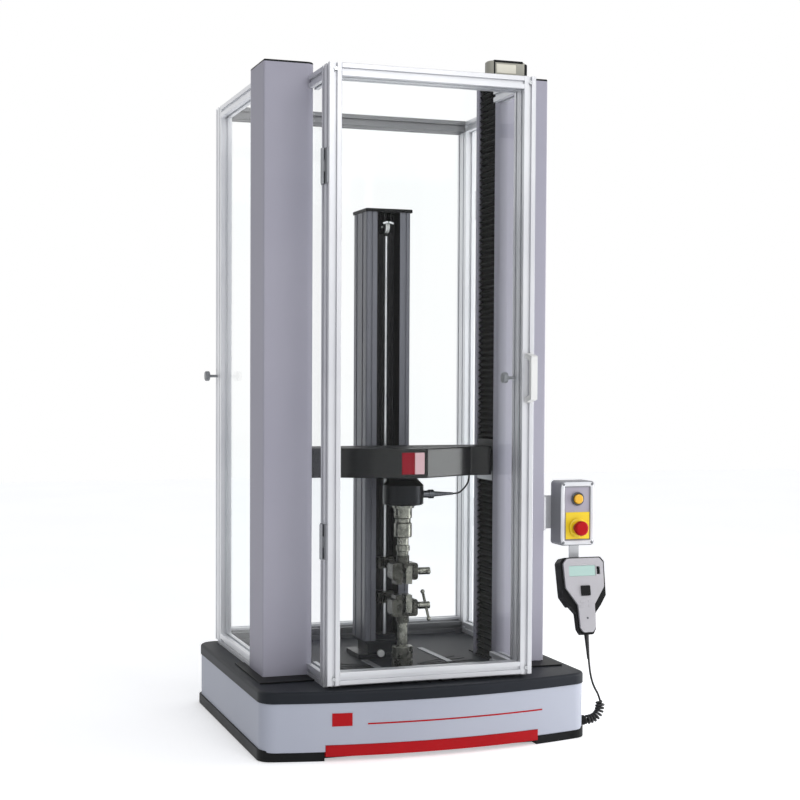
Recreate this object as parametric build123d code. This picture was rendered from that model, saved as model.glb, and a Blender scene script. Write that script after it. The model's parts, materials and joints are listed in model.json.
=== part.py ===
from build123d import *
import math
import os

# Two-column tabletop universal testing machine with a safety enclosure.
# Frame: millimetres, +Z up, +Y to the back, +X to the viewer's right.
# The origin lies midway between the two screws, at the level that the plinth stands on.

# Base
base_width = 806
base_back = 445
base_front_corner = -253
base_front_bow = 55
base_corner_r = 42
plinth_h = 22
plinth_inset = 7
plinth_wall = 30
pan_t = 4
body_h = 112
body_wall = 6
cover_h = 26
cover_edge_r = 7
trim_width = 524
trim_z = 12
trim_h = 26
trim_t = 8

# Columns
column_span = 722
column_width = 123
column_depth = 180
column_front = -95
column_h = 1445
column_wall = 6
column_small_r = 4
column_inner_r = 18
column_back_r = 55
slot_half = 54
cap_t = 5

# Screws and guide rods
screw_r = 16
screw_end_z = 100
rod_r = 10
rod_y = 56
bearing_r = 30
bearing_t = 14
nut_r = 26
nut_h = 30

# Crosshead and load train
beam_z = 628
beam_h = 72
beam_back = 46
beam_gap = 4
load_y = -57
nose_y = -123
nose_half = 35
shoulder_x = 180
shoulder_y = -46
nose_r = 14
cover_t = 7
arm_half = 42
arm_inset = 12
cell_r = 50
cell_h = 64
cell_slope = 16
connector_rise = 24
relief_end = 80
cell_neck_h = 4
adapter_r = 22
adapter_neck_r = 14
adapter_big_h = 80
adapter_small_h = 45
lower_adapter_r = 26
lower_base_h = 53
lower_adapter_h = 110
grip_socket_r = 16
grip_socket_h = 17
grip_width = 66
grip_depth = 40
grip_body_h = 42
grip_mouth = 30
jaw_t = 16
jaw_h = 44
grip_screw_r = 6
grip_bar_r = 3.5
upper_bar_half = 20
lower_bar_half = 38
lower_bar_turn = -37
jaw_close = 9

# Bellows
bellows_half = 51
pleat_pitch = 15
pleat_depth = 12
pleat_setback = 1
bellows_sheet = 2.2
clamp_h = 28

# Extensometer
tower_width = 116
tower_depth = 108
tower_front = 62
tower_bottom_z = 206
tower_h = 1078
tower_groove = 60
tower_groove_depth = 46
tower_rod_r = 5
tower_cap_t = 8
tower_foot_t = 12
carriage_h = 28
carriage_width = 44
upper_carriage_z = 388
lower_carriage_z = 300
feeler_r = 3
feeler_gap = 35
tower_wheel_r = 15

# Enclosure
profile_size = 30
profile_slot = 8
profile_slot_depth = 6.5
profile_edge_r = 1.5
frame_top_z = 1578
front_frame_half = 253
front_frame_y = -236
door_gap = 1
door_lift = 8
rear_frame_half = 359
rear_frame_y = 376
pane_t = 4
hinge_pin_r = 3
hinge_barrel_r = 5
hinge_leaf_t = 2.5
hinge_leaf_h = 80
hinge_offset = 6
hinge_heights = (495, 1348)
handle_z = 871
handle_h = 118
handle_w = 16
handle_reach = 36
handle_t = 11
catch_r = 13
catch_reach = 20
catch_stem_r = 3.6

# Control box and hand control
box_x = 448
box_y = -76
box_z = 531
box_w = 94
box_h = 162
box_d = 58
box_r = 9
rim_side = 12.5
rim_end = 15
rim_h = 3
bracket_t = 5
bracket_h = 84
start_r = 12
stop_r = 18.5
button_gap = 0.4
start_rise = 36.5
stop_drop = 36
hand_x = 470
hand_y = -92
hand_top_z = 419
hand_tilt = 11.7
hand_h = 192
hand_head_half = 58
hand_grip_half = 24
hand_face_end = 76
hand_shell_end = 98
hand_face_t = 7
hand_shell_t = 38
hand_grip_t = 20
display_half = 41
display_h = 27
display_z = -35
jog_x = 40
jog_r = 10
jog_t = 7
jog_depth = 1.5
jog_pin_r = 2
key_half = 12.5
key_z = -85

# Cord of the hand control
cord_r = 2.6
curly_r = 12
relief_len = 60
relief_r = 6

# Lamp
lamp_x = 193
lamp_len = 98
lamp_depth = 40
lamp_h = 37

# Clearances
fit = 0.05
seat = 0.3

# Derived places
body_z = plinth_h
cover_z = body_z + body_h
table_z = cover_z + cover_h
column_outer = column_span / 2
column_inner = column_outer - column_width
column_mid = (column_outer + column_inner) / 2
column_back = column_front + column_depth
column_top = table_z + column_h
beam_top = beam_z + beam_h
cell_z = beam_z - cell_neck_h - cell_h
adapter_big_z = cell_z - adapter_big_h
adapter_small_z = adapter_big_z - adapter_small_h
front_door_y = front_frame_y - door_gap - profile_size
rear_door_y = rear_frame_y + profile_size + door_gap


def save(name, *solids):
    """Write one node, made of one or more separate solids."""
    whole = solids[0] if len(solids) == 1 else Compound(children=list(solids))
    export_step(whole, f"parts/{name}.step")


def block(x0, x1, y0, y1, z0, z1):
    """A plain block between two corners."""
    centre = ((x0 + x1) / 2, (y0 + y1) / 2, (z0 + z1) / 2)
    return Pos(*centre) * Box(abs(x1 - x0), abs(y1 - y0), abs(z1 - z0))


def rod(x, y, z, radius, length, axis="Z"):
    """A cylinder that starts at a point and runs along an axis."""
    turn = {"Z": Rot(0, 0, 0), "X": Rot(0, 90, 0), "Y": Rot(-90, 0, 0)}[axis]
    return Pos(x, y, z) * turn * Pos(0, 0, length / 2) * Cylinder(radius, length)


def ring(x, y, z, outer, inner, height):
    """A flat ring on a vertical axis."""
    return rod(x, y, z, outer, height) - rod(x, y, z - 1, inner, height + 2)


def turned(points, x=0, y=0):
    """A turned part on a vertical axis, from its half section as (radius, height) points."""
    outline = Polyline(*[(r, 0, z) for r, z in points], close=True)
    return Pos(x, y, 0) * revolve(make_face(outline), Axis.Z)


def mirror_x(shape):
    """The same piece on the other side of the machine."""
    return mirror(shape, Plane.YZ)


# Base

def base_outline(inset=0):
    """Plan of the base: straight sides and back, bowed front, rounded corners."""
    half = base_width / 2 - inset
    back = base_back - inset
    corner = base_front_corner + inset
    middle = corner - base_front_bow
    with BuildSketch() as plan:
        with BuildLine():
            Polyline((-half, corner), (-half, back), (half, back), (half, corner))
            ThreePointArc((half, corner), (0, middle), (-half, corner))
        make_face()
        fillet(plan.vertices(), base_corner_r - inset)
    return plan.sketch


def make_plinth():
    """Foot tray of the base, with the front middle set back for the trim strip."""
    outer = extrude(base_outline(plinth_inset), plinth_h)
    inner = Pos(0, 0, pan_t) * extrude(base_outline(plinth_wall), plinth_h)
    recess_y = base_front_corner + plinth_inset
    recess = block(-trim_width / 2, trim_width / 2, recess_y - 2 * base_front_bow, recess_y, -1, plinth_h + 1)
    tray = outer - inner - recess
    rail = block(-trim_width / 2, trim_width / 2, recess_y, recess_y + pan_t, pan_t, plinth_h)
    return tray + rail


def trim_room(grow=0):
    """Room that the trim strip takes along the bowed front edge."""
    outer = extrude(base_outline(-10), trim_h + grow)
    inner = extrude(base_outline(trim_t + grow), trim_h + grow)
    half = trim_width / 2 + grow
    front_y = base_front_corner
    front = block(-half, half, front_y - 2 * base_front_bow, front_y + plinth_inset, 0, 99)
    return Pos(0, 0, trim_z) * ((outer - inner) & front)


def make_trim():
    """Strip under the front edge, between the two foot blocks."""
    return trim_room(-seat) & Pos(0, 0, trim_z) * extrude(base_outline(-1), trim_h)


def make_body():
    """Moulded tray that carries the drive, with rounded lower edges."""
    outer = extrude(base_outline(), body_h)
    low = outer.faces().sort_by(Axis.Z)[0].edges()
    outer = fillet(low, body_wall / 2)
    inner = Pos(0, 0, body_wall) * extrude(base_outline(body_wall), body_h)
    return Pos(0, 0, body_z) * (outer - inner) - trim_room(seat)


def make_cover():
    """Cover plate that is also the table, with bores for the screw bearings."""
    plate = extrude(base_outline(-2), cover_h)
    plate = fillet(plate.faces().sort_by(Axis.Z)[-1].edges(), cover_edge_r)
    plate = Pos(0, 0, cover_z) * plate
    for side in (-1, 1):
        plate -= rod(side * column_mid, 0, cover_z - 1, bearing_r, cover_h + 2)
    return plate


# Columns

def column_plan(inset=0):
    """Plan of the right column: square to the front, curved away behind its outer side."""
    x0, x1 = column_inner + inset, column_outer - inset
    y0, y1 = column_front + inset, column_back - inset
    with BuildSketch() as plan:
        with BuildLine():
            Polyline((x0, y0), (x1, y0), (x1, y1), (x0, y1), close=True)
        make_face()
        corners = plan.vertices().group_by(Axis.X)
        fillet(corners[0], max(column_inner_r - inset, 1))
        outer = plan.vertices().group_by(Axis.X)[-1].sort_by(Axis.Y)
        fillet(outer[-1], column_back_r - inset)
        outer = plan.vertices().group_by(Axis.X)[-1].sort_by(Axis.Y)
        fillet(outer[0], max(column_small_r - inset, 0.5))
    return plan.sketch


def column_envelope(grow=0):
    """The room that the right column takes, for cutting what meets it."""
    return Pos(0, 0, table_z - 1) * extrude(column_plan(-grow), column_h + cap_t)


def make_column():
    """Right column: hollow extrusion, open towards the load axis."""
    shell = extrude(column_plan(), column_h) - extrude(column_plan(column_wall), column_h)
    shell -= block(column_inner - 1, column_inner + column_wall + 1, -slot_half, slot_half, -1, column_h + 1)
    return Pos(0, 0, table_z) * shell


def make_cap():
    """Lid of the right column."""
    lid = extrude(column_plan(), cap_t)
    lid = fillet(lid.faces().sort_by(Axis.Z)[-1].edges(), 3)
    return Pos(0, 0, column_top) * lid


def make_screw(side):
    """Ball screw with a reduced journal at each end."""
    x = side * column_mid
    top = column_top - seat
    shaft = rod(x, 0, screw_end_z, screw_r, top - screw_end_z)
    shaft = chamfer(shaft.edges(), 2)
    for step in range(6):
        shaft -= ring(x, 0, beam_top + nut_h + 60 + 9 * step, screw_r + 1, screw_r - 1.5, 3)
    return shaft


# Crosshead and load train

def beam_prism():
    """Body of the crosshead: flat nose over the load axis, slopes and two short straight ends."""
    half = column_inner - beam_gap
    right = [(nose_half, nose_y), (shoulder_x, shoulder_y), (half, shoulder_y), (half, beam_back)]
    left = [(-x, y) for x, y in reversed(right)]
    with BuildSketch(Plane.XY.offset(beam_z)) as plan:
        with BuildLine():
            Polyline(*right, *left, close=True)
        make_face()
        fillet(plan.vertices().filter_by_position(Axis.X, -shoulder_x - 1, shoulder_x + 1), nose_r)
    return extrude(plan.sketch, beam_h)


def make_beam():
    """Crosshead beam with the arms that run into the columns."""
    half = column_inner - beam_gap
    beam = beam_prism()
    beam = fillet(beam.edges().filter_by_position(Axis.Y, beam_back - 1, beam_back + 1).filter_by(Axis.X), 6)
    neck_x = column_inner + column_wall + 3
    end_x, end_y = column_mid + screw_r + 8, rod_y + rod_r + 3
    with BuildSketch(Plane.XY.offset(beam_z + arm_inset)) as arm:
        with Locations(((half - 4 + neck_x + 1) / 2, 0)):
            Rectangle(neck_x + 1 - half + 4, 2 * arm_half)
        with Locations(((neck_x + end_x) / 2, 0)):
            Rectangle(end_x - neck_x, 2 * end_y)
        with Locations((column_mid, 0)):
            Circle(screw_r + 4, mode=Mode.SUBTRACT)
        with Locations((column_mid, -rod_y), (column_mid, rod_y)):
            Circle(rod_r + fit, mode=Mode.SUBTRACT)
    arm_solid = extrude(arm.sketch, beam_h - 2 * arm_inset)
    return beam + arm_solid + mirror_x(arm_solid)


def make_crosshead_cover():
    """Glossy front cover of the crosshead, bent round its nose and slopes."""
    outer = Pos(0, -cover_t, 0) * beam_prism()
    rims = outer.faces().sort_by(Axis.Z)
    edges = rims[0].edges() + rims[-1].edges()
    outer = fillet(edges.filter_by_position(Axis.Y, nose_y - 99, shoulder_y - cover_t + 1), 4)
    return outer - beam_prism()


def make_nut(side):
    """Flanged nut on top of the crosshead arm."""
    x = side * column_mid
    z = beam_top - arm_inset
    nut = rod(x, 0, z, nut_r, nut_h) + rod(x, 0, z, nut_r + 9, 8)
    return nut - rod(x, 0, z - 1, screw_r + fit, nut_h + 2)


def make_load_cell():
    """Load cell: round can with chamfered edges and its upper stud."""
    points = [(0, cell_z), (cell_r - 3, cell_z), (cell_r, cell_z + 3), (cell_r, cell_z + cell_h - cell_slope),
              (cell_r - cell_slope, cell_z + cell_h), (14, cell_z + cell_h), (14, beam_z), (0, beam_z)]
    return turned(points, y=load_y)


def make_connector():
    """Round connector of the load cell with its tapered strain relief."""
    z = cell_z + connector_rise
    nut_x, relief_x = cell_r + 16, cell_r + 28
    shell = rod(cell_r - 4, load_y, z, 9, 26, "X") - rod(0, load_y, cell_z, cell_r + seat, cell_h)
    nut = rod(nut_x, load_y, z, 11, relief_x - nut_x, "X")
    relief_l = cell_r + relief_end - relief_x
    relief = Pos(relief_x + relief_l / 2, load_y, z) * Rot(0, 90, 0) * Cone(7, 3, relief_l)
    return shell + nut + relief


def make_upper_adapter():
    """Turned adapter between load cell and grip, with its lock ring."""
    z0, z1, z2 = adapter_small_z, adapter_big_z, cell_z
    points = [(0, z0), (adapter_neck_r, z0), (adapter_neck_r, z0 + 10), (adapter_neck_r + 3, z0 + 12),
              (adapter_neck_r + 3, z0 + 24), (adapter_neck_r, z0 + 26), (adapter_neck_r, z1),
              (adapter_r - 2, z1), (adapter_r, z1 + 2), (adapter_r, z1 + 34), (adapter_r - 3, z1 + 37),
              (adapter_r - 3, z1 + 45), (adapter_r, z1 + 48), (adapter_r, z2 - 8), (adapter_r + 5, z2 - 8),
              (adapter_r + 5, z2), (0, z2)]
    return turned(points, y=load_y)


def make_lower_adapter():
    """Turned adapter that stands on the table, with its lock ring and neck."""
    z0, z1, z2 = table_z, table_z + lower_base_h, table_z + lower_adapter_h
    r, neck_r = lower_adapter_r, lower_adapter_r / 2
    points = [(0, z0), (r, z0), (r, z0 + 18), (r - 3, z0 + 20), (r - 3, z0 + 24), (r, z0 + 26),
              (r, z1 - 2), (r - 2, z1), (neck_r, z1), (neck_r, z2), (0, z2)]
    return turned(points, y=load_y)


# One vice grip is made standing at the origin and then placed, the upper one upside down.

jaw_face = 3
fixed_face = 8 - grip_mouth / 2
arm_inner = grip_mouth / 2 + 6
jaw_low = grip_socket_h + 8
screw_line = grip_socket_h + grip_body_h * 0.55


def jaw_grooves():
    """Heights of the cross cuts in both jaw faces."""
    return [jaw_low + 6 + 9 * step for step in range(4)]


def grip_body():
    """Grip frame: socket below, a fixed jaw on the left and an arm for the screw."""
    low, high = grip_socket_h, grip_socket_h + grip_body_h
    half = grip_width / 2
    frame = block(-half, half, -grip_depth / 2, grip_depth / 2, low, high)
    frame = fillet(frame.edges().filter_by(Axis.Y), 7)
    frame -= block(fixed_face, arm_inner, -grip_depth, grip_depth, low + 6, high + 1)
    side = grip_depth / 2 - 3
    frame += block(fixed_face - jaw_t, fixed_face, -side, side, high - 9, jaw_low + jaw_h)
    pin = rod(0, grip_depth / 2 - 1, low + 6, 6, 6, "Y") + rod(0, -grip_depth / 2 - 5, low + 6, 6, 6, "Y")
    for z in jaw_grooves():
        frame -= block(fixed_face - 1.2, fixed_face + 1, -grip_depth, grip_depth, z, z + 3)
    frame -= rod(arm_inner - 1, 0, screw_line, grip_screw_r + fit, half, "X")
    return frame + rod(0, 0, 0, grip_socket_r, low + 1) + pin


def grip_jaw():
    """Sliding jaw with a cross-cut face and a bore for the screw's tip."""
    side = grip_depth / 2 - 3
    jaw = block(jaw_face, jaw_face + jaw_t, -side, side, jaw_low, jaw_low + jaw_h)
    for z in jaw_grooves():
        jaw -= block(jaw_face - 1, jaw_face + 1.2, -grip_depth, grip_depth, z, z + 3)
    return jaw - rod(jaw_face + 4, 0, screw_line, grip_screw_r + fit, jaw_t, "X")


def grip_screw(bar_half, turn):
    """Clamping screw with a collar, a hub and a cross bar."""
    tip = jaw_face + 9
    collar = grip_width / 2 + jaw_close + seat
    screw = rod(tip, 0, screw_line, grip_screw_r, collar - tip, "X")
    screw += rod(collar, 0, screw_line, grip_screw_r + 3, 27, "X")
    bar = rod(0, 0, -bar_half, grip_bar_r, 2 * bar_half)
    for end in (-1, 1):
        bar += Pos(0, 0, end * bar_half) * Sphere(grip_bar_r + 2)
    return screw + Pos(collar + 18, 0, screw_line) * Rot(turn, 0, 0) * bar


def lower_place(shape):
    """Stand a grip piece on the lower adapter."""
    return Pos(0, load_y, table_z + lower_adapter_h) * shape


def upper_place(shape):
    """Hang a grip piece under the upper adapter."""
    return Pos(0, load_y, adapter_small_z) * mirror(shape, Plane.XY)


# Bellows

def make_bellows(low, high):
    """Folded cover of one column slot, as a zigzag sheet between two levels."""
    x_out = column_inner + pleat_setback
    x_in = x_out + pleat_depth - bellows_sheet
    count = max(2, round((high - low) / pleat_pitch))
    pitch = (high - low) / count
    near, far = [], []
    for step in range(2 * count + 1):
        x = x_in if step % 2 == 0 else x_out
        z = low + step * pitch / 2
        near.append((x, -bellows_half, z))
        far.append((x + bellows_sheet, -bellows_half, z))
    face = make_face(Polyline(*near, *reversed(far), close=True))
    return extrude(face, 2 * bellows_half, dir=(0, 1, 0))


def make_clamp(z):
    """Clamp block that holds one end of a bellows on the crosshead's right arm."""
    x = column_inner + pleat_setback
    return block(x, x + pleat_depth, -bellows_half, bellows_half, z, z + clamp_h)


# Extensometer

def make_tower():
    """Tower profile: grooved front, slotted sides, hollow core."""
    x, y0, y1 = tower_width / 2, tower_front, tower_front + tower_depth
    with BuildSketch() as plan:
        with Locations((0, (y0 + y1) / 2)):
            RectangleRounded(tower_width, tower_depth, 5)
        with Locations((0, y0 + tower_groove_depth / 2)):
            Rectangle(tower_groove, tower_groove_depth, mode=Mode.SUBTRACT)
        with Locations((0, y1 - 28)):
            Rectangle(tower_width - 36, 30, mode=Mode.SUBTRACT)
        with Locations((-x, y0 + 32), (x, y0 + 32), (-x, y1 - 28), (x, y1 - 28)):
            Rectangle(14, 8, mode=Mode.SUBTRACT)
        with Locations((-x + 13, y0), (x - 13, y0)):
            Rectangle(5, 6, mode=Mode.SUBTRACT)
    return Pos(0, 0, tower_bottom_z) * extrude(plan.sketch, tower_h)


def make_tower_foot():
    """Foot plate, pedestal and lower rod holder of the tower."""
    y0, y1 = tower_front, tower_front + tower_depth
    half = tower_width / 2
    plate = block(-half - 14, half + 14, y0 + 4, y1 + 10, table_z, table_z + tower_foot_t)
    plate = fillet(plate.edges().filter_by(Axis.Z), 8)
    post = block(-tower_width / 2 + 12, tower_width / 2 - 12, y0 + 12, y1 - 12, table_z, tower_bottom_z - 6)
    head = block(-tower_width / 2, tower_width / 2, y0, y1, tower_bottom_z - 6, tower_bottom_z)
    inner = tower_groove / 2 - 4
    holder = block(-inner, inner, y0 + 8, y0 + 36, tower_bottom_z, tower_bottom_z + 14)
    holder -= rod(0, y0 + 22, tower_bottom_z + 1, tower_rod_r + fit, 20)
    return plate + post + head + holder


def make_tower_cap():
    """Lid of the tower with the fork of the guide wheel."""
    y0, y1 = tower_front, tower_front + tower_depth
    z = tower_bottom_z + tower_h
    lid = block(-tower_width / 2 - 3, tower_width / 2 + 5, y0 - 4, y1 + 3, z, z + tower_cap_t)
    lid = fillet(lid.edges().filter_by(Axis.Z), 5)
    lid = chamfer(lid.faces().sort_by(Axis.Z)[-1].edges(), 1.5)
    for side in (-1, 1):
        cheek = block(side * 6, side * 9.5, y0 + 8, y0 + 36, z - 52, z)
        lid += fillet(cheek.edges().filter_by(Axis.X).sort_by(Axis.Z)[:2], 8)
    return lid - rod(-20, y0 + 22, z - 36, 2.5 + fit, 40, "X")


def make_tower_wheel():
    """Grooved guide wheel on its pin, in the fork under the lid."""
    z = tower_bottom_z + tower_h - 36
    wheel = rod(-5, tower_front + 22, z, tower_wheel_r, 10, "X")
    groove = rod(-1.8, tower_front + 22, z, tower_wheel_r + 1, 3.6, "X")
    groove -= rod(-3, tower_front + 22, z, tower_wheel_r - 4, 6, "X")
    return wheel - groove + rod(-12, tower_front + 22, z, 2.5, 24, "X")


def make_carriage(z, upward):
    """Carriage on the tower's rod, with a feeler arm that reaches towards the load axis."""
    y = tower_front + 22
    body = block(-carriage_width / 2, carriage_width / 2, y - 16, y + 16, z, z + carriage_h)
    body = fillet(body.edges().filter_by(Axis.Z), 4)
    body -= rod(0, y, z - 1, tower_rod_r + fit, carriage_h + 2)
    head = block(-14, 14, tower_front - 14, tower_front + 8, z + 4, z + carriage_h - 4)
    head = fillet(head.edges().filter_by(Axis.Y), 5)
    level = z + (8 if upward else carriage_h - 8)
    bar_y = load_y + feeler_gap
    feeler = rod(-15, bar_y, level, feeler_r + 1, 30, "X")
    for x in (-10, 10):
        feeler += rod(x, bar_y, level, feeler_r, tower_front - 10 - bar_y, "Y")
    return body + head + feeler


# Enclosure

def profile(length):
    """Slotted aluminium profile, standing on the origin."""
    with BuildSketch() as section:
        RectangleRounded(profile_size, profile_size, profile_edge_r)
        for angle in (0, 90, 180, 270):
            with PolarLocations(profile_size / 2 - profile_slot_depth / 2, 1, start_angle=angle):
                Rectangle(profile_slot_depth, profile_slot, mode=Mode.SUBTRACT)
    return extrude(section.sketch, length)


def upright(x, y, low):
    """Profile that stands at a corner of the enclosure."""
    return Pos(x, y, low) * profile(frame_top_z - low)


def rail_x(half, y, z):
    """Profile that lies across the machine, between two uprights."""
    return Pos(-half, y, z) * Rot(0, 90, 0) * profile(2 * half)


def rail_y(x, y0, y1, z):
    """Profile that runs from front to back."""
    return Pos(x, y0, z) * Rot(-90, 0, 0) * profile(y1 - y0)


half_p = profile_size / 2
low_rail_z = table_z + half_p
high_rail_z = frame_top_z - half_p


def frame_uprights(half, y, lift=0):
    """The two corner posts of a frame."""
    return [upright(side * (half - half_p), y, table_z + lift) for side in (-1, 1)]


def frame_rails(half, y, lift=0):
    """The two cross rails of a frame."""
    return [rail_x(half - profile_size, y, low_rail_z + lift), rail_x(half - profile_size, y, high_rail_z)]


def front_side_rails():
    """Short rails from the front frame back to the columns, coped round their corners."""
    rails = []
    y0 = front_frame_y + profile_size
    for side in (-1, 1):
        for z in (low_rail_z, high_rail_z):
            rail = rail_y(front_frame_half - half_p, y0, column_front + column_inner_r, z) - column_envelope()
            rails.append(rail if side == 1 else mirror_x(rail))
    return rails


def rear_side_rails():
    """Rails from the rear frame forward to the columns, coped round their curve."""
    rails = []
    for side in (-1, 1):
        for z in (low_rail_z, high_rail_z):
            rail = rail_y(rear_frame_half - half_p, column_back - column_back_r + 8, rear_frame_y, z)
            rail = (rail - column_envelope()).solids().sort_by(Axis.Y)[-1]
            rails.append(rail if side == 1 else mirror_x(rail))
    return rails


def side_panes():
    """Clear panes beside the front frame and beside the rear frame."""
    panes = []
    low = table_z + profile_size - profile_slot_depth + seat
    high = frame_top_z - profile_size + profile_slot_depth - seat
    slot = profile_slot_depth - seat
    x = front_frame_half - half_p
    front_y = front_frame_y + profile_size - slot
    front = block(x - pane_t / 2, x + pane_t / 2, front_y, column_front + column_inner_r / 2, low, high)
    front -= column_envelope(seat)
    x = rear_frame_half - half_p
    rear = block(x - pane_t / 2, x + pane_t / 2, column_back - column_back_r, rear_frame_y + slot, low, high)
    rear = (rear - column_envelope(seat)).solids().sort_by(Axis.Y)[-1]
    for pane in (front, rear):
        panes.append(pane)
        panes.append(mirror_x(pane))
    return panes


def door_pane(half, y):
    """Clear pane of a door, held in the slots of its profiles."""
    edge = profile_size - profile_slot_depth + seat
    x = half - edge
    return block(-x, x, y - pane_t / 2, y + pane_t / 2, table_z + door_lift + edge, frame_top_z - edge)


def hinge(x, y, outward, z, fixed):
    """One hinge half at a corner post: leaves on the frame and barrel ends, or the door's half.

    outward is -1 for a hinge on the left, and fixed tells which half is made.
    """
    back = 1 if fixed == (y < 0) else -1
    pin_x = x + outward * hinge_offset
    leaf_y = y + back * (hinge_barrel_r + 0.5)
    half_h = hinge_leaf_h / 2
    leaf = block(x, x + outward * hinge_leaf_t, leaf_y, y + back * 26, z - half_h, z + half_h)
    third = hinge_leaf_h / 3
    spans = [(z - third / 2 + seat, z + third / 2 - seat)]
    if fixed:
        spans = [(z - half_h, z - third / 2), (z + third / 2, z + half_h)]
    for low, high in spans:
        knuckle = rod(pin_x, y, low, hinge_barrel_r, high - low)
        tab = block(x, pin_x, y + back * 0.6, leaf_y + back, low, high)
        leaf += knuckle + tab
    if fixed:
        return leaf + rod(pin_x, y, z - half_h, hinge_pin_r, hinge_leaf_h)
    return leaf - rod(pin_x, y, z - half_h - 1, hinge_pin_r + fit, hinge_leaf_h + 2)


def handle_side(y, y_far, half):
    """Side outline of a D handle between a door's face and the bar's far face."""
    with BuildSketch(Plane.YZ) as side:
        with BuildLine():
            Polyline((y, handle_z - half), (y_far, handle_z - half + 8),
                     (y_far, handle_z + half - 8), (y, handle_z + half), close=True)
        make_face()
    return side.sketch


def make_handle(x, y, direction):
    """D handle on a door post: two feet and a flat bar."""
    half = handle_h / 2
    y_far = y + direction * handle_reach
    outline = handle_side(y, y_far, half)
    outline -= handle_side(y - direction, y_far - direction * handle_t, half - handle_t)
    bar = extrude(outline, handle_w / 2, both=True)
    bar = fillet(bar.edges().filter_by(Axis.X), 3)
    return Pos(x, 0, 0) * bar


def make_catch(x, y):
    """Knob on a stem that releases a door's catch."""
    stem = rod(x - catch_reach, y, handle_z, catch_stem_r, catch_reach + profile_slot_depth - 0.5, "X")
    knob = rod(x - catch_reach - 12, y, handle_z, catch_r, 12, "X")
    return stem + fillet(knob.edges(), 3)


# Control box

def make_control_box():
    """Grey box with a rim round its recessed panel and two button bores."""
    front = box_y - box_d / 2
    shell = Pos(box_x, box_y, box_z) * Box(box_w, box_d, box_h)
    shell = fillet(shell.edges().filter_by(Axis.Y), box_r)
    shell = fillet(shell.faces().sort_by(Axis.Y)[0].edges(), 4)
    half_w, half_h = box_w / 2 - rim_side, box_h / 2 - rim_end
    shell -= block(box_x - half_w, box_x + half_w, front - 1, front + rim_h, box_z - half_h, box_z + half_h)
    shell += rod(box_x, front - 2, box_z + start_rise, start_r + 5, rim_h + 4, "Y")
    shell += rod(box_x, front - 2, box_z - stop_drop, stop_r + 3, rim_h + 4, "Y")
    shell -= rod(box_x, front - 4, box_z + start_rise, start_r + button_gap, 16, "Y")
    shell -= rod(box_x, front - 4, box_z - stop_drop, 8 + button_gap, 22, "Y")
    return shell


def make_bracket():
    """Bent plate from the column to the control box, and the holder below it."""
    y1 = box_y + box_d / 2
    z0, z1 = box_z - bracket_h / 2, box_z + bracket_h / 2
    side = block(column_outer, column_outer + bracket_t, y1 - 46, y1 + bracket_t, z0, z1)
    back = block(column_outer, box_x + 30, y1, y1 + bracket_t, z0, z1)
    strap = block(hand_x - 16, hand_x + 10, y1, y1 + bracket_t, hand_top_z - 78, z1)
    back_y = hand_face_t + hand_shell_t + seat
    hook = hand_place(block(-16, 10, back_y, back_y + 16, -72, -62))
    return side + back + strap + hook


def make_start_button():
    """Push button with a domed face."""
    front = box_y - box_d / 2
    button = rod(box_x, front - 9, box_z + start_rise, start_r, 18, "Y")
    return fillet(button.edges().sort_by(Axis.Y)[0], 3)


def make_stop_button():
    """Mushroom button on its stem."""
    front = box_y - box_d / 2
    z = box_z - stop_drop
    head = rod(box_x, front - 30, z, stop_r, 14, "Y")
    head = fillet(head.edges().sort_by(Axis.Y)[0], 6)
    head = fillet(head.edges().sort_by(Axis.Y)[-1], 2)
    return head + rod(box_x, front - 17, z, 8, 28, "Y")


# Hand control. Its pieces are made upright, with the top of the face at the origin, and then leaned back.

def hand_place(shape):
    """Put a piece of the hand control where it hangs in its holder."""
    return Pos(hand_x, hand_y, hand_top_z) * Rot(-hand_tilt, 0, 0) * shape


def hand_outline(half, head_end, length, inset=0):
    """Front view of the hand control: wide head that tapers into a grip."""
    a, b = half - inset, hand_grip_half - inset
    right = [(a - 10, -inset), (a, -12 - inset), (a - 2, -head_end), (a - 18, -head_end - 24),
             (b + 2, -head_end - 44), (b, 14 - length), (b - 8, inset - length)]
    left = [(-x, z) for x, z in reversed(right)]
    with BuildSketch(Plane.XZ) as plan:
        with BuildLine():
            Polyline(*right, *left, close=True)
        make_face()
        fillet(plan.vertices(), 7)
    return plan.sketch


def hand_slab(outline, y0, y1):
    """Slab of the hand control between two depths behind its face."""
    return Pos(0, y1, 0) * extrude(outline, y1 - y0)


def make_hand_shell():
    """Deep back shell of the hand control."""
    plan = hand_outline(hand_head_half + 3, hand_shell_end, hand_h + 3)
    grip = hand_slab(plan, hand_face_t, hand_face_t + hand_grip_t)
    head = hand_slab(plan, hand_face_t, hand_face_t + hand_shell_t)
    head &= block(-99, 99, 0, 99, -hand_shell_end - 26, 9)
    shell = grip + head
    low, high = jog_x - jog_t / 2, jog_x + jog_t / 2
    room = jog_r + 1
    shell -= block(low - 1, high + 1, 0, hand_face_t + jog_depth + room, display_z - room, display_z + room)
    shell -= rod(low - 4, hand_face_t + jog_depth, display_z, jog_pin_r + fit, jog_t + 8, "X")
    return hand_place(chamfer(shell.faces().sort_by(Axis.Y)[-1].edges(), 4))


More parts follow.
